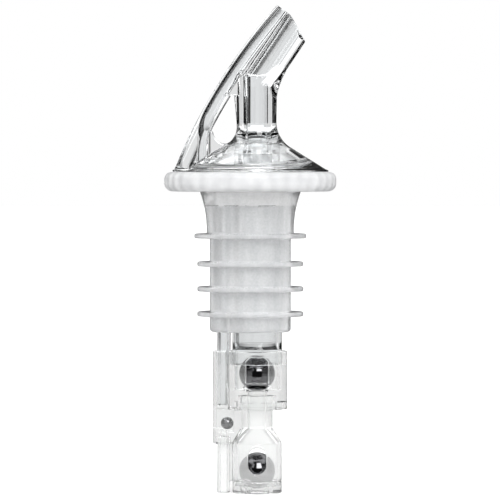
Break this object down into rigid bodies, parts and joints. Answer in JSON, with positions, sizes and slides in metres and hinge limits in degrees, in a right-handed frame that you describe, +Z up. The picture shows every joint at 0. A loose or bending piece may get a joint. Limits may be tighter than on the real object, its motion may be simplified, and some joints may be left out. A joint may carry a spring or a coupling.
{
  "type": "measured liquor pourer",
  "caption": "Clear pouring spout with a breather duct on a lobed collar and a finned bottle cork, over metering and breather tubes with ball valves in a translucent cage.",
  "frame": {"origin": "on the cork's axis in the plane of the collar's underside, where the bottle's lip stops", "axes": "+Z up out of the bottle along the cork's axis, +X towards the pouring lip, the breather duct on the -X side"},
  "size_m": [0.0378, 0.0378, 0.1073],
  "materials": {
    "clear_plastic": "polished clear moulding",
    "clear_tube": "clear extruded tube",
    "frosted_collar": "frosted, slightly see-through",
    "frosted_cork": "frosted, soft, slightly see-through",
    "milky_plastic": "milky translucent moulding",
    "ball_steel": "polished steel"
  },
  "bodies": {
    "pourer_body": {"pour_spout": "clear_plastic", "tube_plate": "frosted_collar", "collar": "frosted_collar", "cork": "frosted_cork", "metering_tube": "clear_tube", "breather_tube": "clear_tube", "ball_cage": "milky_plastic", "check_chamber": "milky_plastic", "ball_retainer": "milky_plastic"},
    "cutoff_ball": {"cutoff_ball": "ball_steel"},
    "check_ball": {"check_ball": "ball_steel"},
    "breather_ball": {"breather_ball": "ball_steel"}
  },
  "joints": [
    {"name": "cutoff_travel", "type": "slide", "parent": "pourer_body", "child": "cutoff_ball", "axis": [0, 0, 1], "range_m": [0, 0.04004]},
    {"name": "check_travel", "type": "slide", "parent": "pourer_body", "child": "check_ball", "axis": [0, 0, 1], "range_m": [0, 0.00483]},
    {"name": "breather_travel", "type": "slide", "parent": "pourer_body", "child": "breather_ball", "axis": [-0.2507, 0, 0.9681], "range_m": [0, 0.00295]}
  ]
}
